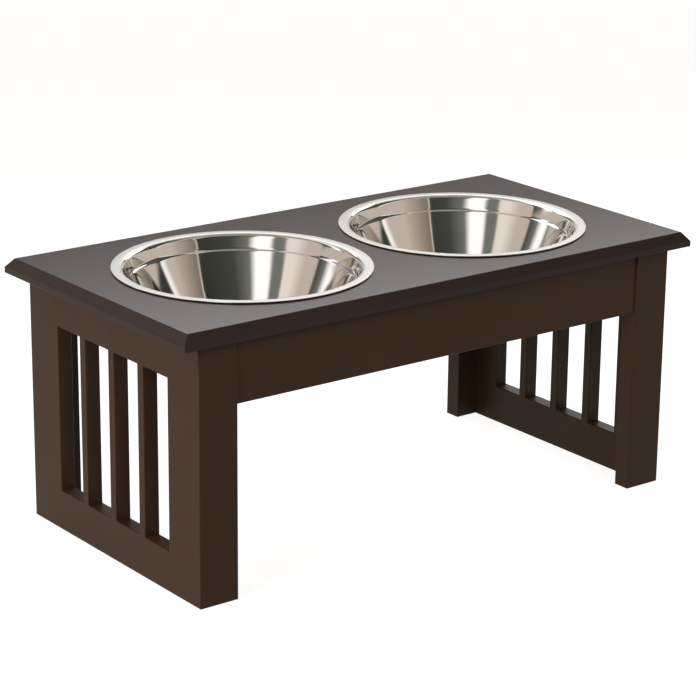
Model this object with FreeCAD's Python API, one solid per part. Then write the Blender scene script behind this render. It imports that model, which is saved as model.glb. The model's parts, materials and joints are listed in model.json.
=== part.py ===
import FreeCAD, Part
import math
import os

# Elevated pet feeder: a painted table with slatted ends that carries two lift-out steel bowls.
# Millimetres, +Z up, the front towards -Y. The origin is on the floor under the middle of the table.

# Bowls: pressed steel sheet, hung in the top board by a flat rim whose edge is rolled under in a hem.
# Below the rim come a leaning collar, a soft ledge, a bellied wall and a base with a low dome.
bowl_rim_radius = 120.0
bowl_flange_width = 10.7
bowl_rim_height = 1.6
bowl_hem_width = 3.0
bowl_depth = 73.4
bowl_sheet = 0.6
bowl_collar_height = 13.6
bowl_collar_taper = 4.3
bowl_ledge_width = 1.8
bowl_ledge_drop = 1.9
bowl_belly_depth = 40.4
bowl_belly_taper = 10.1
bowl_wall_taper = 19.0
bowl_rim_round = 0.75
bowl_mouth_round = 5.5
bowl_collar_round = 6.0
bowl_ledge_round = 4.0
bowl_belly_round = 350.0
bowl_base_round = 10.0
bowl_dome_height = 1.5
bowl_dome_slope = 5.0
bowl_dome_ring = 24.0
bowl_round_room_share = 0.98

# Room round the bowls, which sets the length and the width of the table.
bowl_gap = 19.0
rim_to_frame = 7.5
rim_to_apron = 3.0
hole_clearance = 2.0

# Top board
board_thickness = 14.0
board_overhang_end = 20.0
board_overhang_side = 10.0
board_bevel_width = 7.0
board_bevel_height = 8.6
board_skin = 3.0

# Legs
leg_height = 240.0
leg_width = 40.0
leg_thickness = 18.0
leg_skin = 5.0

# End frames: stiles, rails and slats, flush with the outer side of the legs.
frame_thickness = 15.0
stile_width = 31.0
bottom_rail_height = 39.0
top_rail_height = 41.0
slat_width = 10.0
slats_per_end = 3
tenon_length = 8.0
tenon_shoulder = 1.5
tenon_cheek = 3.0
mortise_spare_depth = 1.0

# Aprons
apron_height = 60.0
apron_thickness = 15.0
apron_recess = 2.0
apron_edge_round = 1.5
apron_skin = 2.5

# Wooden dowels, all alike
dowel_radius = 3.0
dowel_length = 24.0
dowel_chamfer = 0.8
dowel_spare_depth = 1.0
rail_dowel_spread_share = 0.25
apron_dowel_spread_share = 0.3
stile_dowel_height_shares = (0.3, 0.5, 0.7)
top_dowel_place_share = 0.6

# Cam bolts and cam locks, all alike
cam_edge_distance = 24.0
cam_radius = 7.4
cam_slot_width = 1.4
cam_slot_length = 8.0
cam_slot_depth = 2.5
cam_set_back = 0.3
bolt_thread_radius = 3.0
bolt_shank_radius = 3.4
bolt_neck_radius = 2.0
bolt_head_radius = 3.3
bolt_head_length = 4.0
bolt_cam_clearance = 0.6
top_cam_place_share = 0.65

# Fits and cuts
glue_gap = 0.05
cam_clearance = 0.1
overrun = 1.0

# Sizes that follow from the ones above
frame_inner_x = 2 * bowl_rim_radius + bowl_gap / 2 + rim_to_frame
frame_outer_x = frame_inner_x + frame_thickness
board_half_length = frame_outer_x + board_overhang_end
leg_inner_x = frame_outer_x - leg_width
frame_middle_x = (frame_inner_x + frame_outer_x) / 2

apron_inner_y = bowl_rim_radius + rim_to_apron
apron_outer_y = apron_inner_y + apron_thickness
apron_middle_y = (apron_inner_y + apron_outer_y) / 2
leg_outer_y = apron_outer_y + apron_recess
leg_inner_y = leg_outer_y - leg_thickness
board_half_width = leg_outer_y + board_overhang_side
stile_inner_y = leg_inner_y - stile_width

board_top = leg_height + board_thickness
top_rail_bottom = leg_height - top_rail_height
apron_bottom = leg_height - apron_height
apron_middle_z = (apron_bottom + leg_height) / 2

bowl_centre_x = bowl_rim_radius + bowl_gap / 2
bowl_mouth_radius = bowl_rim_radius - bowl_flange_width
board_hole_radius = bowl_mouth_radius + hole_clearance

slot_width = (2 * stile_inner_y - slats_per_end * slat_width) / (slats_per_end + 1)
slat_pitch = slot_width + slat_width

bolt_thread_length = board_thickness - board_skin
cam_pocket_depth = apron_thickness - apron_skin
bolt_bore_radius = bolt_shank_radius + bolt_cam_clearance
bolt_shank_length = cam_edge_distance - cam_radius - bolt_cam_clearance

side_names = {-1: "left", 1: "right"}
row_names = {-1: "front", 1: "back"}
axis_x = FreeCAD.Vector(1, 0, 0)
axis_y = FreeCAD.Vector(0, 1, 0)
axis_z = FreeCAD.Vector(0, 0, 1)


def block(x_ends, y_ends, z_ends):
    """A square-edged board between three pairs of planes, given in any order."""
    corner = FreeCAD.Vector(min(x_ends), min(y_ends), min(z_ends))
    spans = [max(ends) - min(ends) for ends in (x_ends, y_ends, z_ends)]
    return Part.makeBox(*spans, corner)


def rod(radius, start, direction, reach):
    """A round bar that starts at a point and reaches along a direction."""
    return Part.makeCylinder(radius, reach, start, direction)


def drilled(piece, tools):
    """The piece with every drilling and mortise that reaches it cut out."""
    near = [tool for tool in tools if tool.BoundBox.intersect(piece.BoundBox)]
    return piece.cut(near) if near else piece


# Dowel seats: a point on the joint, the way into the deeper piece, and the depth in the shallower one.
def rail_dowel_seats():
    """Two dowels in each end of each rail, into the stiles."""
    seats = []
    for side in side_names:
        for bottom, tall in ((0, bottom_rail_height), (top_rail_bottom, top_rail_height)):
            for row in row_names:
                for step in (-1, 1):
                    z = bottom + tall / 2 + step * rail_dowel_spread_share * tall
                    point = FreeCAD.Vector(side * frame_middle_x, row * stile_inner_y, z)
                    seats.append((point, axis_y * -row, dowel_length / 2))
    return seats


def stile_dowel_seats():
    """A row of dowels up each stile, into its leg."""
    seats = []
    for side in side_names:
        for row in row_names:
            for share in stile_dowel_height_shares:
                point = FreeCAD.Vector(side * frame_middle_x, row * leg_inner_y, share * leg_height)
                seats.append((point, axis_y * -row, leg_thickness - leg_skin - dowel_spare_depth))
    return seats


def apron_dowel_seats():
    """Two dowels in each end of each apron, above and below the cam bolt."""
    seats = []
    for side in side_names:
        for row in row_names:
            for step in (-1, 1):
                z = apron_middle_z + step * apron_dowel_spread_share * apron_height
                point = FreeCAD.Vector(side * leg_inner_x, row * apron_middle_y, z)
                seats.append((point, axis_x * -side, dowel_length / 2))
    return seats


def top_dowel_seats():
    """Two dowels in each top rail that place the board on the end frames."""
    seats = []
    for side in side_names:
        for row in row_names:
            y = row * top_dowel_place_share * stile_inner_y
            point = FreeCAD.Vector(side * frame_middle_x, y, leg_height)
            seats.append((point, axis_z * -1, board_thickness - board_skin - dowel_spare_depth))
    return seats


def dowel(seat):
    """One fluted beech dowel, plain here, with chamfered ends."""
    point, inward, outer_depth = seat
    pin = rod(dowel_radius, point - inward * outer_depth, inward, dowel_length)
    rims = [edge for edge in pin.Edges if edge.Curve.TypeId == "Part::GeomCircle"]
    return pin.makeChamfer(dowel_chamfer, rims)


def dowel_bore(seat):
    """The bore for one dowel, through both pieces, a little deeper than the dowel at each end."""
    point, inward, outer_depth = seat
    start = point - inward * (outer_depth + dowel_spare_depth)
    return rod(dowel_radius + glue_gap, start, inward, dowel_length + 2 * dowel_spare_depth)


# Cam seats: a point on the joint, the way into the apron, and the row that the apron is in.
def cam_seats():
    """One fitting at each end of each apron, and two that hold the board down on each apron."""
    seats = []
    for side in side_names:
        for row in row_names:
            end = FreeCAD.Vector(side * leg_inner_x, row * apron_middle_y, apron_middle_z)
            seats.append((end, axis_x * -side, row))
            top = FreeCAD.Vector(side * top_cam_place_share * leg_inner_x, row * apron_middle_y, leg_height)
            seats.append((top, axis_z * -1, row))
    return seats


def cam_bolt(seat):
    """The steel bolt: a thread in the leg or the board, a shank, a neck and the head that the cam grips."""
    point, inward, row = seat
    thread = rod(bolt_thread_radius, point - inward * bolt_thread_length, inward, bolt_thread_length)
    shank = rod(bolt_shank_radius, point, inward, bolt_shank_length)
    head_start = cam_edge_distance - bolt_head_length / 2
    neck = rod(bolt_neck_radius, point, inward, head_start)
    head = rod(bolt_head_radius, point + inward * head_start, inward, bolt_head_length)
    return thread.fuse([shank, neck, head]).removeSplitter()


def cam_bolt_bores(seat):
    """The thread's bore in the leg or the board, and the shank's bore in the apron."""
    point, inward, row = seat
    reach = bolt_thread_length + glue_gap
    thread = rod(bolt_thread_radius + glue_gap, point - inward * reach, inward, reach + overrun)
    shank = rod(bolt_bore_radius, point, inward, cam_edge_distance)
    return [thread, shank]


def cam_place(seat):
    """Where a cam's axis meets the inner face of its apron."""
    point, inward, row = seat
    centre = point + inward * cam_edge_distance
    return FreeCAD.Vector(centre.x, row * apron_inner_y, centre.z)


def cam_pocket(seat):
    """The round pocket that a cam sits in, bored from the inner face of the apron."""
    row = seat[2]
    start = cam_place(seat) - axis_y * row * overrun
    return rod(cam_radius + cam_clearance, start, axis_y * row, cam_pocket_depth + overrun)


def cam_lock(seat):
    """One cam: a round body with a mouth for the bolt's head and a cross slot for the screwdriver."""
    point, inward, row = seat
    face = cam_place(seat) + axis_y * row * cam_set_back
    body = rod(cam_radius, face, axis_y * row, cam_pocket_depth - cam_set_back - cam_clearance)
    mouth_start = point + inward * (cam_edge_distance - cam_radius - overrun)
    mouth_reach = cam_radius + bolt_head_length / 2 + bolt_cam_clearance + overrun
    mouth = rod(bolt_bore_radius, mouth_start, inward, mouth_reach)
    slot_y = (face.y - row * overrun, face.y + row * cam_slot_depth)
    long_ends = (-cam_slot_length / 2, cam_slot_length / 2)
    short_ends = (-cam_slot_width / 2, cam_slot_width / 2)
    slots = []
    for x_ends, z_ends in ((long_ends, short_ends), (short_ends, long_ends)):
        slot = block([face.x + x for x in x_ends], slot_y, [face.z + z for z in z_ends])
        slots.append(slot)
    return body.cut([mouth] + slots)


# Slats and their mortises
def slat_middle(place):
    """The Y of a slat's middle, counted from the front."""
    return (place - (slats_per_end - 1) / 2) * slat_pitch


def slat_tenon(side, place, spare):
    """The long square bar whose ends are a slat's two tenons; spare is the mortise's extra depth."""
    y = slat_middle(place)
    half = slat_width / 2 - tenon_shoulder + (glue_gap if spare else 0)
    cheek = tenon_cheek - (glue_gap if spare else 0)
    x_ends = (side * (frame_inner_x + cheek), side * (frame_outer_x - cheek))
    z_ends = (bottom_rail_height - tenon_length - spare, top_rail_bottom + tenon_length + spare)
    return block(x_ends, (y - half, y + half), z_ends)


def slat(side, place):
    """An upright slat between the rails, with a stub tenon at each end."""
    y = slat_middle(place)
    x_ends = (side * frame_inner_x, side * frame_outer_x)
    bar = block(x_ends, (y - slat_width / 2, y + slat_width / 2), (bottom_rail_height, top_rail_bottom))
    return bar.fuse(slat_tenon(side, place, 0)).removeSplitter()


# Boards of the table
def rail(side, z_ends):
    """A rail of an end frame, between the stiles."""
    return block((side * frame_inner_x, side * frame_outer_x), (-stile_inner_y, stile_inner_y), z_ends)


def stile(side, row):
    """The upright of an end frame, glued to the inner side of a leg."""
    x_ends = (side * frame_inner_x, side * frame_outer_x)
    return block(x_ends, (row * stile_inner_y, row * leg_inner_y), (0, leg_height))


def leg(side, row):
    """A corner leg, from the floor to the underside of the board."""
    x_ends = (side * leg_inner_x, side * frame_outer_x)
    return block(x_ends, (row * leg_inner_y, row * leg_outer_y), (0, leg_height))


def apron(row):
    """A long board under the top, between two legs, with its lower edges eased."""
    y_ends = (row * apron_inner_y, row * apron_outer_y)
    plank = block((-leg_inner_x, leg_inner_x), y_ends, (apron_bottom, leg_height))
    lower = [
        edge
        for edge in plank.Edges
        if edge.BoundBox.ZMax < apron_middle_z and edge.BoundBox.XLength > apron_thickness
    ]
    return plank.makeFillet(apron_edge_round, lower)


def rectangle(half_length, half_width, z):
    """A closed rectangle about the Z axis."""
    corners = [(-1, -1), (1, -1), (1, 1), (-1, 1), (-1, -1)]
    points = [FreeCAD.Vector(x * half_length, y * half_width, z) for x, y in corners]
    return Part.makePolygon(points)


def top_board():
    """The top: a board with a steep bevel round its upper edge and a round hole for each bowl."""
    bevel_start = board_top - board_bevel_height
    x_ends = (-board_half_length, board_half_length)
    y_ends = (-board_half_width, board_half_width)
    land = block(x_ends, y_ends, (leg_height, bevel_start))
    lower = rectangle(board_half_length, board_half_width, bevel_start)
    flat_half_length = board_half_length - board_bevel_width
    flat_half_width = board_half_width - board_bevel_width
    upper = rectangle(flat_half_length, flat_half_width, board_top)
    bevelled = Part.makeLoft([lower, upper], True, True)
    board = land.fuse(bevelled).removeSplitter()
    holes = []
    for side in side_names:
        start = FreeCAD.Vector(side * bowl_centre_x, 0, leg_height - overrun)
        holes.append(rod(board_hole_radius, start, axis_z, board_thickness + 2 * overrun))
    return board.cut(holes)


# Bowls
def side_step(start, end, distance):
    """The step to the left of the way from start to end, in the plane of a bowl's section."""
    dx = end[0] - start[0]
    dz = end[1] - start[1]
    long = math.hypot(dx, dz)
    return (-dz / long * distance, dx / long * distance)


def offset_outline(points, distance):
    """An open outline moved to its left, its corners where the moved lines meet."""
    moved = []
    for start, end in zip(points, points[1:]):
        step = side_step(start, end, distance)
        moved.append(((start[0] + step[0], start[1] + step[1]), (end[0] + step[0], end[1] + step[1])))
    corners = [moved[0][0]]
    for (a, b), (c, d) in zip(moved, moved[1:]):
        ab = (b[0] - a[0], b[1] - a[1])
        cd = (d[0] - c[0], d[1] - c[1])
        share = ((c[0] - a[0]) * cd[1] - (c[1] - a[1]) * cd[0]) / (ab[0] * cd[1] - ab[1] * cd[0])
        corners.append((a[0] + ab[0] * share, a[1] + ab[1] * share))
    return corners + [moved[-1][1]]


def round_reaches(vectors, rounds):
    """How far each round reaches from its corner, cut back where two rounds would meet on one side."""
    wanted = [0]
    for before, corner, after, radius in zip(vectors, vectors[1:], vectors[2:], rounds):
        half = (before - corner).getAngle(after - corner) / 2
        wanted.append(radius / math.tan(half))
    wanted.append(0)
    fits = []
    for start, end, near, far in zip(vectors, vectors[1:], wanted, wanted[1:]):
        fits.append(min(1, bowl_round_room_share * (end - start).Length / (near + far)))
    return [reach * min(near, far) for reach, near, far in zip(wanted[1:], fits, fits[1:])]


def rounded_edges(points, rounds):
    """Edges along an outline in the XZ plane, each inner corner rounded as its neighbours allow."""
    vectors = [FreeCAD.Vector(r, 0, z) for r, z in points]
    reaches = round_reaches(vectors, rounds)
    edges = []
    last = vectors[0]
    for before, corner, after, reach in zip(vectors, vectors[1:], vectors[2:], reaches):
        back = (before - corner).normalize()
        ahead = (after - corner).normalize()
        half = back.getAngle(ahead) / 2
        radius = reach * math.tan(half)
        middle = corner + (back + ahead).normalize() * (radius / math.sin(half) - radius)
        arc_start = corner + back * reach
        arc_end = corner + ahead * reach
        edges.append(Part.LineSegment(last, arc_start).toShape())
        edges.append(Part.Arc(arc_start, middle, arc_end).toShape())
        last = arc_end
    edges.append(Part.LineSegment(last, vectors[-1]).toShape())
    return edges


def bowl_outline():
    """The shown side of the sheet from the hem to the middle of the base, and the round of each corner."""
    rim_top = board_top + bowl_rim_height
    collar_foot = rim_top - bowl_collar_height
    wall_top = collar_foot - bowl_ledge_drop
    floor = rim_top - bowl_depth
    collar_radius = bowl_mouth_radius - bowl_collar_taper
    wall_radius = collar_radius - bowl_ledge_width
    belly_radius = wall_radius - bowl_belly_taper
    base_radius = belly_radius - bowl_wall_taper
    dome_foot = base_radius - bowl_dome_ring
    dome_top = floor + bowl_dome_height
    points = [
        (bowl_rim_radius - bowl_hem_width, board_top),
        (bowl_rim_radius, board_top),
        (bowl_rim_radius, rim_top),
        (bowl_mouth_radius, rim_top),
        (collar_radius, collar_foot),
        (wall_radius, wall_top),
        (belly_radius, rim_top - bowl_belly_depth),
        (base_radius, floor),
        (dome_foot, floor),
        (dome_foot - bowl_dome_slope, dome_top),
        (0, dome_top),
    ]
    rounds = [
        bowl_rim_round,
        bowl_rim_round,
        bowl_mouth_round,
        bowl_collar_round,
        bowl_ledge_round,
        bowl_belly_round,
        bowl_base_round,
        bowl_dome_slope,
        bowl_dome_slope,
    ]
    return points, rounds


def turn(before, corner, after):
    """1 where an outline turns to its left at a corner, -1 where it turns to its right."""
    inward = (corner[0] - before[0], corner[1] - before[1])
    onward = (after[0] - corner[0], after[1] - corner[1])
    return 1 if inward[0] * onward[1] > inward[1] * onward[0] else -1


def bowl(side):
    """One bowl: the section of the sheet turned about the bowl's axis."""
    points, rounds = bowl_outline()
    lower_points = offset_outline(points, bowl_sheet)
    corners = zip(points, points[1:], points[2:], rounds)
    lower_rounds = [radius - turn(a, b, c) * bowl_sheet for a, b, c, radius in corners]
    upper = rounded_edges(points, rounds)
    lower = rounded_edges(lower_points, lower_rounds)
    foot = Part.LineSegment(upper[0].Vertexes[0].Point, lower[0].Vertexes[0].Point).toShape()
    middle = Part.LineSegment(upper[-1].Vertexes[-1].Point, lower[-1].Vertexes[-1].Point).toShape()
    outline = Part.Wire(Part.__sortEdges__(upper + lower + [foot, middle]))
    turned = Part.Face(outline).revolve(FreeCAD.Vector(0, 0, 0), axis_z, 360)
    turned.translate(axis_x * side * bowl_centre_x)
    return turned


def build():
    """Every node of the part by name."""
    dowels = rail_dowel_seats() + stile_dowel_seats() + apron_dowel_seats() + top_dowel_seats()
    cams = cam_seats()
    tools = [dowel_bore(seat) for seat in dowels]
    for seat in cams:
        tools += cam_bolt_bores(seat)
        tools.append(cam_pocket(seat))
    for side in side_names:
        tools += [slat_tenon(side, place, mortise_spare_depth) for place in range(slats_per_end)]

    nodes = {"top_board": drilled(top_board(), tools)}
    for row, row_name in row_names.items():
        nodes["apron_" + row_name] = drilled(apron(row), tools)
    for side, side_name in side_names.items():
        nodes["bottom_rail_" + side_name] = drilled(rail(side, (0, bottom_rail_height)), tools)
        nodes["top_rail_" + side_name] = drilled(rail(side, (top_rail_bottom, leg_height)), tools)
        for row, row_name in row_names.items():
            corner_name = row_name + "_" + side_name
            nodes["leg_" + corner_name] = drilled(leg(side, row), tools)
            nodes["stile_" + corner_name] = drilled(stile(side, row), tools)
        for place in range(slats_per_end):
            nodes["slat_" + side_name + "_" + str(place + 1)] = slat(side, place)
        nodes["bowl_" + side_name] = bowl(side)
    nodes["wood_dowels"] = Part.makeCompound([dowel(seat) for seat in dowels])
    nodes["cam_bolts"] = Part.makeCompound([cam_bolt(seat) for seat in cams])
    nodes["cam_locks"] = Part.makeCompound([cam_lock(seat) for seat in cams])
    return nodes


os.makedirs("parts", exist_ok=True)
for name, shape in build().items():
    shape.exportStep("parts/" + name + ".step")
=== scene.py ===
import json
import math

import bmesh
import bpy
from mathutils import Matrix, Quaternion, Vector


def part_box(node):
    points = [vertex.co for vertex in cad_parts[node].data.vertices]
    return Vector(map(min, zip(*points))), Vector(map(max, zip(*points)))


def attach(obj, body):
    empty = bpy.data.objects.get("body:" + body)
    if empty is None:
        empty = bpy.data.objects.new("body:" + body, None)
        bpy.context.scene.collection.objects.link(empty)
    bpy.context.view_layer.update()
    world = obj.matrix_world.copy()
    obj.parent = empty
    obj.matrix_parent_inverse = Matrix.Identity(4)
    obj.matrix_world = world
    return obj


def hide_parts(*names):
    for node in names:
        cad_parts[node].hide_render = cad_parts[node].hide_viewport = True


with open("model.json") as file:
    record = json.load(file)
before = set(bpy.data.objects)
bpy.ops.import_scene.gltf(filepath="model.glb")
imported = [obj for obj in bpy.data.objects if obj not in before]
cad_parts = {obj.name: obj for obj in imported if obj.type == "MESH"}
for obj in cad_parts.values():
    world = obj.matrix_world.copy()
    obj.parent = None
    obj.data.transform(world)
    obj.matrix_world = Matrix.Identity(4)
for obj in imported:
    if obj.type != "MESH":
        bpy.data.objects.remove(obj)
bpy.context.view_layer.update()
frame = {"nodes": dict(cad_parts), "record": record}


# Legs: four posts of medium-density fibreboard, sawn square and sanded.
# Each is dowelled to the end frame beside it and bolted to an apron, and the
# whole stand is sprayed with satin brown paint, which rounds every open edge.
MM = 0.001
EDGE_ROUND = 0.9 * MM
EDGE_STEPS = 3
SHARP_ANGLE = math.radians(40)
TOUCH = 0.2 * MM
STAND_BROWN = "3e2d1e"
STAND_BROWN_THIN = "463423"
STAND_GLOSS = (0.37, 0.43)
PAINT_SPECULAR = 0.14
PAINT_MOTTLE = 70 * MM
PAINT_DRIFT = 22 * MM
ORANGE_PEEL = 5.0 * MM
ORANGE_PEEL_HEIGHT = 0.005 * MM
PEEL_STRENGTH = 0.5
# Most of a noise texture lies between these two values.
NOISE_LOW = 0.3
NOISE_HIGH = 0.7


def linear(colour):
    """An sRGB hex colour as a linear RGBA tuple."""
    shares = [int(colour[i : i + 2], 16) / 255 for i in (0, 2, 4)]
    return tuple(s / 12.92 if s <= 0.04045 else ((s + 0.055) / 1.055) ** 2.4 for s in shares) + (1.0,)


def add_node(tree, kind, values=None, links=None, **settings):
    """A new node of a tree, with its settings, its socket values and the outputs that feed its sockets."""
    node = tree.nodes.new(kind)
    for name, value in settings.items():
        setattr(node, name, value)
    for name, value in (values or {}).items():
        node.inputs[name].default_value = value
    for name, output in (links or {}).items():
        tree.links.new(output, node.inputs[name])
    return node


def new_material(name):
    """A material with its own node tree; returns it, the tree and its principled shader."""
    material = bpy.data.materials.new(name)
    material.use_nodes = True
    tree = material.node_tree
    return material, tree, tree.nodes["Principled BSDF"]


def satin_paint(name, body, thin, gloss):
    """Satin alkyd paint, sprayed: nearly even in colour, a sheen that drifts and a faint orange peel."""
    material, tree, shader = new_material(name)
    place = add_node(tree, "ShaderNodeTexCoord").outputs["Object"]
    mottle = add_node(
        tree,
        "ShaderNodeTexNoise",
        {"Scale": 1 / PAINT_MOTTLE, "Detail": 3.0, "Roughness": 0.55},
        {"Vector": place},
    )
    colour = add_node(
        tree,
        "ShaderNodeMix",
        {"A": linear(body), "B": linear(thin)},
        {"Factor": mottle.outputs["Fac"]},
        data_type="RGBA",
    )
    drift = add_node(
        tree,
        "ShaderNodeTexNoise",
        {"Scale": 1 / PAINT_DRIFT, "Detail": 4.0, "Roughness": 0.6},
        {"Vector": place},
    )
    sheen = add_node(
        tree,
        "ShaderNodeMapRange",
        {"From Min": NOISE_LOW, "From Max": NOISE_HIGH, "To Min": gloss[0], "To Max": gloss[1]},
        {"Value": drift.outputs["Fac"]},
    )
    peel = add_node(
        tree,
        "ShaderNodeTexNoise",
        {"Scale": 1 / ORANGE_PEEL, "Detail": 1.0, "Roughness": 0.4},
        {"Vector": place},
    )
    bump = add_node(
        tree,
        "ShaderNodeBump",
        {"Strength": PEEL_STRENGTH, "Distance": ORANGE_PEEL_HEIGHT},
        {"Height": peel.outputs["Fac"]},
    )
    tree.links.new(colour.outputs["Result"], shader.inputs["Base Color"])
    tree.links.new(sheen.outputs["Result"], shader.inputs["Roughness"])
    tree.links.new(bump.outputs["Normal"], shader.inputs["Normal"])
    shader.inputs["Specular IOR Level"].default_value = PAINT_SPECULAR
    return material


def finished(name, mesh, *materials):
    """A new object of the scene from a bmesh."""
    data = bpy.data.meshes.new(name)
    mesh.to_mesh(data)
    mesh.free()
    for material in materials:
        data.materials.append(material)
    piece = bpy.data.objects.new(name, data)
    bpy.context.scene.collection.objects.link(piece)
    return piece


def eases_edges(mesh, edges, size):
    """Rounds the given edges as sanding and paint leave them; only the rounds shade smoothly."""
    rounds = bmesh.ops.bevel(
        mesh, geom=edges, offset=size, affect="EDGES", segments=EDGE_STEPS, profile=0.5, material=-1
    )
    for face in rounds["faces"]:
        face.smooth = True


def holds(box, point):
    """Whether a point lies in a box or on it."""
    low, high = box
    return all(low[i] - TOUCH <= point[i] <= high[i] + TOUCH for i in range(3))


def meet(box, other):
    """Whether two boxes touch."""
    return all(box[0][i] - TOUCH <= other[1][i] and other[0][i] - TOUCH <= box[1][i] for i in range(3))


def painted_board(node, box=None):
    """The board that stands for a CAD node: square, its edges rounded where no other board covers them."""
    low, high = box or board_boxes[node]
    near = [other for name, other in board_boxes.items() if name != node and meet((low, high), other)]
    mesh = bmesh.new()
    bmesh.ops.create_cube(mesh, size=1, matrix=Matrix.LocRotScale((low + high) / 2, None, high - low))
    for corner in [corner for other in near for corner in other]:
        for axis in range(3):
            if low[axis] + TOUCH < corner[axis] < high[axis] - TOUCH:
                normal = [0, 0, 0]
                normal[axis] = 1
                everything = mesh.verts[:] + mesh.edges[:] + mesh.faces[:]
                bmesh.ops.bisect_plane(
                    mesh, geom=everything, dist=TOUCH / 10, plane_co=corner, plane_no=normal
                )
    open_edges = []
    for edge in mesh.edges:
        middle = (edge.verts[0].co + edge.verts[1].co) / 2
        if edge.calc_face_angle(0) > SHARP_ANGLE and not any(holds(other, middle) for other in near):
            open_edges.append(edge)
    eases_edges(mesh, open_edges, EDGE_ROUND)
    piece = finished(node + "_painted", mesh, stand_paint)
    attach(piece, "stand")
    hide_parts(node)


stand_paint = satin_paint("satin_brown_paint", STAND_BROWN, STAND_BROWN_THIN, STAND_GLOSS)
board_nodes = [
    part["node"] for part in frame["record"]["subparts"] if part["material_slot"] == "painted_board"
]
board_boxes = {node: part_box(node) for node in board_nodes}
for node in board_nodes:
    if node.startswith("leg_"):
        painted_board(node)


# End frames: two stiles, two rails and three slats at each end, of the same
# fibreboard as the legs, tenoned and dowelled together and flush outside.
# The joints are filled before the paint, so only the open edges show a round.
for node in board_nodes:
    if node.startswith(("stile_", "bottom_rail_", "top_rail_")):
        painted_board(node)
for node in board_nodes:
    if node.startswith("slat_"):
        side = node.split("_")[1]
        low, high = board_boxes[node]
        foot = board_boxes["bottom_rail_" + side][1].z
        head = board_boxes["top_rail_" + side][0].z
        painted_board(node, (Vector((low.x, low.y, foot)), Vector((high.x, high.y, head))))


# Aprons: the long boards under the top, front and back, set a little behind
# the legs' faces, with eased lower edges and bored for the cam fittings.
for node in ("apron_front", "apron_back"):
    data = frame["nodes"][node].data
    data.materials.clear()
    data.materials.append(stand_paint)


# Cam fittings and dowels: zinc cams and zinc-plated bolts that pull the
# aprons to the legs and the top down, and beech pins that keep them in line.
ZINC = "9fa1a3"
ZINC_DULL = "7d8084"
ZINC_GLOSS = (0.32, 0.5)
ZINC_SPANGLE = 2.5 * MM
BEECH = "c9a373"
BEECH_DARK = "b1854f"
BEECH_ROUGHNESS = 0.6
BEECH_FLECK = 1.2 * MM


def zinc_plate():
    """Zinc, cast or plated: a grey metal with a dull patchy spangle."""
    material, tree, shader = new_material("zinc_plate")
    place = add_node(tree, "ShaderNodeTexCoord").outputs["Object"]
    spangle = add_node(tree, "ShaderNodeTexVoronoi", {"Scale": 1 / ZINC_SPANGLE}, {"Vector": place})
    colour = add_node(
        tree,
        "ShaderNodeMix",
        {"A": linear(ZINC), "B": linear(ZINC_DULL)},
        {"Factor": spangle.outputs["Distance"]},
        data_type="RGBA",
    )
    gloss = add_node(
        tree,
        "ShaderNodeMapRange",
        {"To Min": ZINC_GLOSS[0], "To Max": ZINC_GLOSS[1]},
        {"Value": spangle.outputs["Distance"]},
    )
    tree.links.new(colour.outputs["Result"], shader.inputs["Base Color"])
    tree.links.new(gloss.outputs["Result"], shader.inputs["Roughness"])
    shader.inputs["Metallic"].default_value = 1.0
    return material


def raw_beech():
    """Beech turned to a dowel and left raw: pale tan with short darker flecks along the grain."""
    material, tree, shader = new_material("raw_beech")
    place = add_node(tree, "ShaderNodeTexCoord").outputs["Object"]
    fleck = add_node(
        tree, "ShaderNodeTexNoise", {"Scale": 1 / BEECH_FLECK, "Detail": 3.0}, {"Vector": place}
    )
    colour = add_node(
        tree,
        "ShaderNodeMix",
        {"A": linear(BEECH), "B": linear(BEECH_DARK)},
        {"Factor": fleck.outputs["Fac"]},
        data_type="RGBA",
    )
    tree.links.new(colour.outputs["Result"], shader.inputs["Base Color"])
    shader.inputs["Roughness"].default_value = BEECH_ROUGHNESS
    return material


zinc = zinc_plate()
for node, material in (("cam_locks", zinc), ("cam_bolts", zinc), ("wood_dowels", raw_beech())):
    data = frame["nodes"][node].data
    data.materials.clear()
    data.materials.append(material)


# Top board: one fibreboard panel with a steep bevel routed round its upper
# edge and a round hole sawn for each bowl, painted a little redder than the
# stand. It is dowelled to the end frames and pulled down by cam fittings.
BOARD_BROWN = "342926"
BOARD_BROWN_THIN = "3a2e2a"
BOARD_GLOSS = (0.276, 0.292)
BEVEL_WIDTH = 7.0 * MM
BEVEL_HEIGHT = 8.6 * MM
BEVEL_ROUND = 0.4 * MM
HOLE_RADIUS = 111.3 * MM
HOLE_STEPS = 128
bowl_centres = {}
for side in ("left", "right"):
    low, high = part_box("bowl_" + side)
    bowl_centres[side] = Vector(((low.x + high.x) / 2, (low.y + high.y) / 2, 0))


def at_outline(vert):
    """Whether a vertex of the board is on its outline, not on a hole."""
    return all((vert.co - centre).to_2d().length > HOLE_RADIUS + TOUCH for centre in bowl_centres.values())


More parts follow.
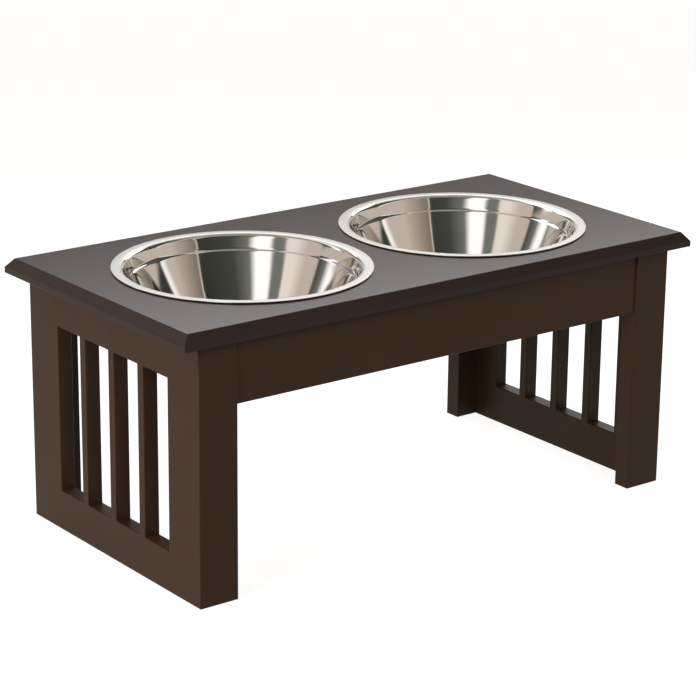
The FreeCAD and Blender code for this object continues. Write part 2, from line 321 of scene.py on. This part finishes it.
def top_board():
    """The board from its upper face down: the flat with its holes, the bevel, then the upright land."""
    low, high = board_boxes["top_board"]
    mesh = bmesh.new()
    corners = []
    for x, y in ((low.x, low.y), (high.x, low.y), (high.x, high.y), (low.x, high.y)):
        inward = Vector((-math.copysign(BEVEL_WIDTH, x), -math.copysign(BEVEL_WIDTH, y), 0))
        corners.append(mesh.verts.new(Vector((x, y, high.z)) + inward))
    for start, end in zip(corners, corners[1:] + corners[:1]):
        mesh.edges.new((start, end))
    for centre in bowl_centres.values():
        ring = Matrix.Translation(centre + Vector((0, 0, high.z)))
        bmesh.ops.create_circle(mesh, segments=HOLE_STEPS, radius=HOLE_RADIUS, matrix=ring)
    bmesh.ops.triangle_fill(mesh, edges=mesh.edges[:], use_beauty=True, normal=(0, 0, 1))
    faces = mesh.faces[:]
    for drop, spread in ((BEVEL_HEIGHT, BEVEL_WIDTH), (high.z - low.z - BEVEL_HEIGHT, 0)):
        edges = list(dict.fromkeys(edge for face in faces for edge in face.edges))
        grown = bmesh.ops.extrude_face_region(mesh, geom=faces + edges)["geom"]
        faces = [item for item in grown if isinstance(item, bmesh.types.BMFace)]
        verts = [item for item in grown if isinstance(item, bmesh.types.BMVert)]
        for vert in filter(at_outline, verts):
            vert.co += Vector((math.copysign(spread, vert.co.x), math.copysign(spread, vert.co.y), 0))
        bmesh.ops.translate(mesh, verts=verts, vec=(0, 0, -drop))
    bmesh.ops.recalc_face_normals(mesh, faces=mesh.faces[:])
    outline = []
    for edge in mesh.edges:
        if edge.calc_face_angle(0) > SHARP_ANGLE / 2 and all(at_outline(vert) for vert in edge.verts):
            outline.append(edge)
    eases_edges(mesh, outline, BEVEL_ROUND)
    board_paint = satin_paint("satin_red_brown_paint", BOARD_BROWN, BOARD_BROWN_THIN, BOARD_GLOSS)
    piece = finished("top_board_painted", mesh, board_paint)
    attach(piece, "stand")
    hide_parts("top_board")


top_board()


# Bowls: pressed from one sheet of stainless steel, with a flat rim rolled
# under at its edge, a leaning collar, a soft ledge, a bellied wall and a
# domed base. Polished inside, satin on the rim and outside, hung by the rim.
RIM_RADIUS = 120.0 * MM
RIM_HEIGHT = 1.6 * MM
HEM_WIDTH = 3.0 * MM
FLANGE_WIDTH = 10.7 * MM
COLLAR_HEIGHT = 13.6 * MM
COLLAR_TAPER = 4.3 * MM
LEDGE_WIDTH = 1.8 * MM
LEDGE_DROP = 1.9 * MM
BELLY_DEPTH = 40.4 * MM
BELLY_TAPER = 10.1 * MM
WALL_TAPER = 19.0 * MM
BOWL_DEPTH = 73.4 * MM
DOME_RING = 24.0 * MM
DOME_SLOPE = 5.0 * MM
DOME_HEIGHT = 1.5 * MM
RIM_ROUND = 0.4 * MM
RIM_UNDER_ROUND = 1.15 * MM
MOUTH_ROUND = 5.5 * MM
COLLAR_ROUND = 6.0 * MM
LEDGE_ROUND = 4.0 * MM
BELLY_ROUND = 350.0 * MM
BASE_ROUND = 10.0 * MM
SHEET = 0.6 * MM
ROUND_STEPS = 10
TURN_STEPS = 192
MERGE = 0.01 * MM
POLISHED = "d3cfca"
POLISHED_GLOSS = (0.05, 0.09)
POLISHED_RING_HEIGHT = 0.0006 * MM
SATIN = "a9a9a7"
SATIN_GLOSS = (0.36, 0.42)
SATIN_RING_HEIGHT = 0.004 * MM
SATIN_UPWARD = 0.8
STEEL_CLOUD = 30 * MM
# Real polishing lines are too fine to show, so the rings are drawn coarser than they are.
STEEL_RING = 1.1 * MM
RING_STRENGTH = 0.3
# The length of one ring of the wave texture at a scale of 1.
WAVE_LENGTH = math.pi / 10


def turned_steel(name, centre, colour, gloss, ring_height):
    """Stainless steel polished on a lathe: a near mirror whose fine rings run round the bowl's axis."""
    material, tree, shader = new_material(name)
    place = add_node(tree, "ShaderNodeTexCoord").outputs["Object"]
    centred = add_node(tree, "ShaderNodeMapping", {"Location": -centre}, {"Vector": place})
    rings = add_node(
        tree,
        "ShaderNodeTexWave",
        {"Scale": WAVE_LENGTH / STEEL_RING, "Distortion": 0.6, "Detail": 2.0},
        {"Vector": centred.outputs["Vector"]},
        wave_type="RINGS",
        rings_direction="Z",
    )
    cloud = add_node(
        tree, "ShaderNodeTexNoise", {"Scale": 1 / STEEL_CLOUD, "Detail": 3.0}, {"Vector": place}
    )
    sheen = add_node(
        tree,
        "ShaderNodeMapRange",
        {"From Min": NOISE_LOW, "From Max": NOISE_HIGH, "To Min": gloss[0], "To Max": gloss[1]},
        {"Value": cloud.outputs["Fac"]},
    )
    bump = add_node(
        tree,
        "ShaderNodeBump",
        {"Strength": RING_STRENGTH, "Distance": ring_height},
        {"Height": rings.outputs["Fac"]},
    )
    tree.links.new(sheen.outputs["Result"], shader.inputs["Roughness"])
    tree.links.new(bump.outputs["Normal"], shader.inputs["Normal"])
    shader.inputs["Base Color"].default_value = linear(colour)
    shader.inputs["Metallic"].default_value = 1.0
    return material


def straight_run(mesh, pen, place):
    """Draws an edge from the pen's vertex to a place, where the pen then is."""
    end = bmesh.ops.extrude_vert_indiv(mesh, verts=[pen])["verts"][0]
    end.co = place
    return end


def draws_outline(mesh, corners):
    """An open outline in the XZ plane: straight runs, with each corner turned on its own round."""
    points = [Vector((radius, 0, z)) for radius, z, turn in corners]
    turns = [turn for radius, z, turn in corners]
    pen = mesh.verts.new(points[0])
    for before, point, after, turn in zip(points, points[1:], points[2:], turns[1:]):
        behind = (before - point).normalized()
        ahead = (after - point).normalized()
        half = behind.angle(ahead) / 2
        pen = straight_run(mesh, pen, point + behind * turn / math.tan(half))
        arc = bmesh.ops.spin(
            mesh,
            geom=[pen],
            cent=point + (behind + ahead).normalized() * turn / math.sin(half),
            axis=ahead.cross(behind),
            angle=math.pi - 2 * half,
            steps=ROUND_STEPS,
        )
        pen = arc["geom_last"][0]
    straight_run(mesh, pen, points[-1])


def bowl(side):
    """The shown side of the sheet as an outline, spun and given its thickness."""
    board_top = board_boxes["top_board"][1].z
    rim_top = board_top + RIM_HEIGHT
    mouth = RIM_RADIUS - FLANGE_WIDTH
    collar = mouth - COLLAR_TAPER
    wall = collar - LEDGE_WIDTH
    belly = wall - BELLY_TAPER
    base = belly - WALL_TAPER
    floor = rim_top - BOWL_DEPTH
    mesh = bmesh.new()
    draws_outline(
        mesh,
        [
            (RIM_RADIUS - HEM_WIDTH, board_top, 0),
            (RIM_RADIUS, board_top, RIM_UNDER_ROUND),
            (RIM_RADIUS, rim_top, RIM_ROUND),
            (mouth, rim_top, MOUTH_ROUND),
            (collar, rim_top - COLLAR_HEIGHT, COLLAR_ROUND),
            (wall, rim_top - COLLAR_HEIGHT - LEDGE_DROP, LEDGE_ROUND),
            (belly, rim_top - BELLY_DEPTH, BELLY_ROUND),
            (base, floor, BASE_ROUND),
            (base - DOME_RING, floor, DOME_SLOPE),
            (base - DOME_RING - DOME_SLOPE, floor + DOME_HEIGHT, DOME_SLOPE),
            (0, floor + DOME_HEIGHT, 0),
        ],
    )
    bmesh.ops.spin(
        mesh,
        geom=mesh.verts[:] + mesh.edges[:],
        axis=(0, 0, 1),
        cent=(0, 0, 0),
        steps=TURN_STEPS,
        angle=2 * math.pi,
        use_merge=True,
    )
    bmesh.ops.remove_doubles(mesh, verts=mesh.verts[:], dist=MERGE)
    bmesh.ops.recalc_face_normals(mesh, faces=mesh.faces[:])
    if sum(face.normal.z * face.calc_area() for face in mesh.faces) < 0:
        bmesh.ops.reverse_faces(mesh, faces=mesh.faces[:])
    bmesh.ops.solidify(mesh, geom=mesh.faces[:], thickness=SHEET)
    for face in mesh.faces:
        outward = face.calc_center_median() * Vector((1, 1, 0))
        if outward.length > mouth + SHEET:
            is_satin = face.normal.z > SATIN_UPWARD
        else:
            is_satin = face.normal.dot(outward.normalized()) > face.normal.z
        face.material_index = 1 if is_satin else 0
        face.smooth = True
    for edge in mesh.edges:
        edge.smooth = edge.calc_face_angle(0) < SHARP_ANGLE
    centre = bowl_centres[side]
    bmesh.ops.translate(mesh, verts=mesh.verts[:], vec=centre)
    polished = turned_steel(
        "polished_steel_" + side, centre, POLISHED, POLISHED_GLOSS, POLISHED_RING_HEIGHT
    )
    satin = turned_steel("satin_steel_" + side, centre, SATIN, SATIN_GLOSS, SATIN_RING_HEIGHT)
    piece = finished("bowl_" + side + "_pressed", mesh, polished, satin)
    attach(piece, side + "_bowl")
    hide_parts("bowl_" + side)


for side in bowl_centres:
    bowl(side)


# Studio: a pale floor and a white room with three soft lights. Polished metal
# mirrors the room's walls and tall lamps, dark behind the camera, a pale card
# near the front of the object and a low white one behind its right end.
VIEW_AZIMUTH = math.radians(-37.284)
VIEW_ELEVATION = math.radians(17.717)
VIEW_ROLL = math.radians(0.588)
VIEW_DISTANCE = 2412 * MM
VIEW_TARGET = Vector((-1.1, 8.7, 149.9)) * MM
LENS = 130.5
SENSOR = 36.0
FLOOR_SIZE = 24.0
FLOOR_GREY = "7a7a7a"
FLOOR_ROUGHNESS = 0.9
FLOOR_SHADE = 0.4
FLOOR_GLOW = 0.88
FLOOR_MIRRORED = 0.7
FILL = "fff8f0"
FILL_LEVELS = (0.04, 0.25)
FILL_TOP = 0.7
ROOM_GLOW = 1.6
# How the room's upright edges lean, and the height at which they are where the table below says.
ROOM_LEAN = 0.31
ROOM_LEVEL = math.radians(22)
# The room shows above the foot of its wall, which rises towards one side, and below its ceiling.
WALL_FOOT = (math.radians(14), math.radians(17))
FOOT_TURN = math.radians(25)
FOOT_RISE = math.radians(6)
CEILING_EDGE = (math.radians(45), math.radians(70))
# The room that metal mirrors: its shades, and where each one lies round the
# object, in degrees from the camera towards the camera's right.
ROOM_SHADES = {
    "white": "ffffff",
    "pale": "dcd5ce",
    "wall": "b8aea4",
    "grey": "6b6f69",
    "dark": "3e413c",
    "black": "2c2e29",
    "back": "6c7076",
    "ceiling": "8f8c88",
}
ROOM_ROUND = (
    (-180, "back"),
    (-140, "back"),
    (-121, "wall"),
    (-116, "grey"),
    (-112, "white"),
    (-105, "white"),
    (-97, "grey"),
    (-87, "dark"),
    (-85, "wall"),
    (-70, "wall"),
    (-55, "pale"),
    (-45, "pale"),
    (-42, "grey"),
    (-30, "grey"),
    (-26, "white"),
    (-10, "white"),
    (-3, "grey"),
    (16, "dark"),
    (58, "black"),
    (59.5, "wall"),
    (88, "wall"),
    (94, "white"),
    (97, "black"),
    (108, "dark"),
    (180, "back"),
)
FRONT_CARD = (
    Vector((0.053, -0.940, 0.42)),
    Vector((0.543, -0.836, 0.42)),
    Vector((0.750, -0.462, 1.25)),
    Vector((0.260, -0.566, 1.25)),
)
BACK_CARD = (
    Vector((0.827, 0.097, 0)),
    Vector((0.309, 0.569, 0)),
    Vector((0.309, 0.569, 0.22)),
    Vector((0.827, 0.097, 0.22)),
)
FRONT_SHADES = ((0.0, "cbc4bc"), (0.035, "cbc4bc"), (0.06, "766b61"), (1.0, "b4aaa0"))
BACK_SHADES = ((0.0, "ffffff"), (1.0, "ffffff"))
OBJECT_MIDDLE = Vector((0, 0, 0.15))
BESIDE_RIGHT_END = Vector((0.385, -0.097, 0.25))


def direction(azimuth, elevation):
    """The unit vector from the object towards an azimuth and an elevation, 0 being the front."""
    level = math.cos(elevation)
    return Vector((math.sin(azimuth) * level, -math.cos(azimuth) * level, math.sin(elevation)))


def soft_light(name, azimuth, distance, height, aim, size, radiance, colour, mirrored):
    """A rectangular soft light that faces a point; its radiance is 1 for white, and metal may mirror it."""
    light = bpy.data.lights.new(name, "AREA")
    light.shape = "RECTANGLE"
    light.size, light.size_y = size
    light.energy = radiance * math.pi * size[0] * size[1]
    light.color = linear(colour)[:3]
    lamp = bpy.data.objects.new(name, light)
    bpy.context.scene.collection.objects.link(lamp)
    lamp.location = direction(math.radians(azimuth), 0) * distance + Vector((0, 0, height))
    lamp.rotation_mode = "QUATERNION"
    lamp.rotation_quaternion = (lamp.location - aim).to_track_quat("Z", "Y")
    lamp.visible_camera = False
    lamp.visible_glossy = mirrored


def fills_ramp(node, shades):
    """Gives a colour ramp its stops: places from 0 to 1, each with its sRGB colour."""
    stops = node.color_ramp.elements
    for place, colour in shades[1:-1]:
        stops.new(place)
    for stop, (place, colour) in zip(stops, shades):
        stop.color = linear(colour)


def studio_world():
    """White to the camera, a plain fill to matt surfaces, and the room itself to polished ones."""
    world = bpy.data.worlds.new("studio")
    bpy.context.scene.world = world
    world.use_nodes = True
    tree = world.node_tree
    way = add_node(tree, "ShaderNodeTexCoord").outputs["Generated"]
    ahead = direction(VIEW_AZIMUTH, 0)
    aside = Vector((-ahead.y, ahead.x, 0))
    front = add_node(tree, "ShaderNodeVectorMath", {1: ahead}, {0: way}, operation="DOT_PRODUCT")
    side = add_node(tree, "ShaderNodeVectorMath", {1: aside}, {0: way}, operation="DOT_PRODUCT")
    turn = add_node(
        tree,
        "ShaderNodeMath",
        None,
        {0: side.outputs["Value"], 1: front.outputs["Value"]},
        operation="ARCTAN2",
    )
    rise = add_node(tree, "ShaderNodeSeparateXYZ", None, {0: way}).outputs["Z"]
    tilt = add_node(tree, "ShaderNodeMath", None, {0: rise}, operation="ARCSINE").outputs["Value"]
    lean = add_node(
        tree,
        "ShaderNodeMath",
        {1: ROOM_LEAN, 2: -ROOM_LEAN * ROOM_LEVEL},
        {0: tilt},
        operation="MULTIPLY_ADD",
    )
    leant = add_node(
        tree,
        "ShaderNodeMath",
        None,
        {0: turn.outputs["Value"], 1: lean.outputs["Value"]},
        operation="ADD",
    )
    share = add_node(
        tree,
        "ShaderNodeMapRange",
        {"From Min": -math.pi, "From Max": math.pi},
        {"Value": leant.outputs["Value"]},
    )
    room = add_node(tree, "ShaderNodeValToRGB", None, {"Fac": share.outputs["Result"]})
    fills_ramp(room, [((angle + 180) / 360, ROOM_SHADES[shade]) for angle, shade in ROOM_ROUND])
    near = add_node(
        tree,
        "ShaderNodeVectorMath",
        {1: direction(VIEW_AZIMUTH + FOOT_TURN, 0)},
        {0: way},
        operation="DOT_PRODUCT",
    )
    nearness = add_node(tree, "ShaderNodeMath", None, {0: near.outputs["Value"]}, operation="ABSOLUTE")
    height = add_node(
        tree,
        "ShaderNodeMath",
        {1: FOOT_RISE},
        {0: nearness.outputs["Value"], 2: tilt},
        operation="MULTIPLY_ADD",
    )
    low = add_node(
        tree,
        "ShaderNodeMapRange",
        {"From Min": WALL_FOOT[0], "From Max": WALL_FOOT[1]},
        {"Value": height.outputs["Value"]},
        interpolation_type="SMOOTHSTEP",
    )
    round_room = add_node(
        tree,
        "ShaderNodeMix",
        {"A": linear(ROOM_SHADES["wall"])},
        {"Factor": low.outputs["Result"], "B": room.outputs["Color"]},
        data_type="RGBA",
    )
    above = add_node(
        tree,
        "ShaderNodeMapRange",
        {"From Min": CEILING_EDGE[0], "From Max": CEILING_EDGE[1]},
        {"Value": tilt},
        interpolation_type="SMOOTHSTEP",
    )
    whole_room = add_node(
        tree,
        "ShaderNodeMix",
        {"B": linear(ROOM_SHADES["ceiling"])},
        {"Factor": above.outputs["Result"], "A": round_room.outputs["Result"]},
        data_type="RGBA",
    )
    level = add_node(
        tree,
        "ShaderNodeMapRange",
        {"From Max": FILL_TOP, "To Min": FILL_LEVELS[0], "To Max": FILL_LEVELS[1]},
        {"Value": rise},
    )
    fill = add_node(
        tree, "ShaderNodeBackground", {"Color": linear(FILL)}, {"Strength": level.outputs["Result"]}
    )
    mirrored = add_node(
        tree, "ShaderNodeBackground", {"Strength": ROOM_GLOW}, {"Color": whole_room.outputs["Result"]}
    )
    white = add_node(tree, "ShaderNodeBackground", {"Color": (1.0, 1.0, 1.0, 1.0)})
    path = add_node(tree, "ShaderNodeLightPath")
    polished = add_node(
        tree,
        "ShaderNodeMixShader",
        None,
        {
            0: path.outputs["Is Glossy Ray"],
            1: fill.outputs["Background"],
            2: mirrored.outputs["Background"],
        },
    )
    seen = add_node(
        tree,
        "ShaderNodeMixShader",
        None,
        {0: path.outputs["Is Camera Ray"], 1: polished.outputs["Shader"], 2: white.outputs["Background"]},
    )
    tree.links.new(seen.outputs["Shader"], tree.nodes["World Output"].inputs["Surface"])


def pale_floor():
    """A matt floor; where it is looked at it is lifted to white, and keeps the object's light shadow."""
    material, tree, shader = new_material("pale_floor")
    shader.inputs["Base Color"].default_value = linear(FLOOR_GREY)
    shader.inputs["Roughness"].default_value = FLOOR_ROUGHNESS
    shader.inputs["Specular IOR Level"].default_value = 0.0
    shade = add_node(tree, "ShaderNodeBsdfDiffuse", {"Color": (FLOOR_SHADE, FLOOR_SHADE, FLOOR_SHADE, 1.0)})
    glow = add_node(tree, "ShaderNodeEmission", {"Strength": FLOOR_GLOW})
    lifted = add_node(
        tree, "ShaderNodeAddShader", None, {0: shade.outputs["BSDF"], 1: glow.outputs["Emission"]}
    )
    path = add_node(tree, "ShaderNodeLightPath")
    looked_at = add_node(
        tree,
        "ShaderNodeMath",
        {1: FLOOR_MIRRORED},
        {0: path.outputs["Is Glossy Ray"], 2: path.outputs["Is Camera Ray"]},
        operation="MULTIPLY_ADD",
    )
    seen = add_node(
        tree,
        "ShaderNodeMixShader",
        None,
        {0: looked_at.outputs["Value"], 1: shader.outputs["BSDF"], 2: lifted.outputs["Shader"]},
    )
    tree.links.new(seen.outputs["Shader"], tree.nodes["Material Output"].inputs["Surface"])
    mesh = bmesh.new()
    bmesh.ops.create_grid(mesh, x_segments=1, y_segments=1, size=FLOOR_SIZE / 2)
    floor = finished("floor", mesh, material)


def mirrored_card(name, corners, across):
    """A card that only glossy surfaces show, given by its four corners and its shades from side to side."""
    material, tree = new_material(name)[:2]
    place = add_node(tree, "ShaderNodeTexCoord").outputs["UV"]
    share = add_node(tree, "ShaderNodeSeparateXYZ", None, {0: place}).outputs["X"]
    shades = add_node(tree, "ShaderNodeValToRGB", None, {"Fac": share})
    fills_ramp(shades, across)
    glow = add_node(tree, "ShaderNodeEmission", {"Strength": ROOM_GLOW}, {"Color": shades.outputs["Color"]})
    tree.links.new(glow.outputs["Emission"], tree.nodes["Material Output"].inputs["Surface"])
    mesh = bmesh.new()
    face = mesh.faces.new([mesh.verts.new(corner) for corner in corners])
    spread = mesh.loops.layers.uv.new("across")
    for loop, along in zip(face.loops, (0, 1, 1, 0)):
        loop[spread].uv = (along, 0)
    card = finished(name, mesh, material)
    card.visible_camera = False
    card.visible_diffuse = False
    card.visible_shadow = False


studio_world()
pale_floor()
mirrored_card("front_card", FRONT_CARD, FRONT_SHADES)
mirrored_card("back_card", BACK_CARD, BACK_SHADES)
soft_light(
    "left_light",
    azimuth=-80,
    distance=2.6,
    height=1.0,
    aim=OBJECT_MIDDLE,
    size=(1.6, 1.2),
    radiance=7.3,
    colour="ffead2",
    mirrored=False,
)
soft_light(
    "front_light",
    azimuth=-15,
    distance=3.0,
    height=1.9,
    aim=OBJECT_MIDDLE,
    size=(1.6, 1.6),
    radiance=3.6,
    colour="fff6ec",
    mirrored=False,
)
soft_light(
    "back_light",
    azimuth=132,
    distance=0.712,
    height=0.755,
    aim=BESIDE_RIGHT_END,
    size=(1.2, 0.5),
    radiance=3.2,
    colour="fffaf5",
    mirrored=True,
)

camera_data = bpy.data.cameras.new("camera")
camera_data.lens = LENS
camera_data.sensor_width = SENSOR
camera = bpy.data.objects.new("camera", camera_data)
bpy.context.scene.collection.objects.link(camera)
back = direction(VIEW_AZIMUTH, VIEW_ELEVATION)
camera.location = VIEW_TARGET + back * VIEW_DISTANCE
camera.rotation_mode = "QUATERNION"
camera.rotation_quaternion = (-back).to_track_quat("-Z", "Y") @ Quaternion((0, 0, 1), VIEW_ROLL)
bpy.context.scene.camera = camera
bpy.context.scene.view_settings.view_transform = "Standard"
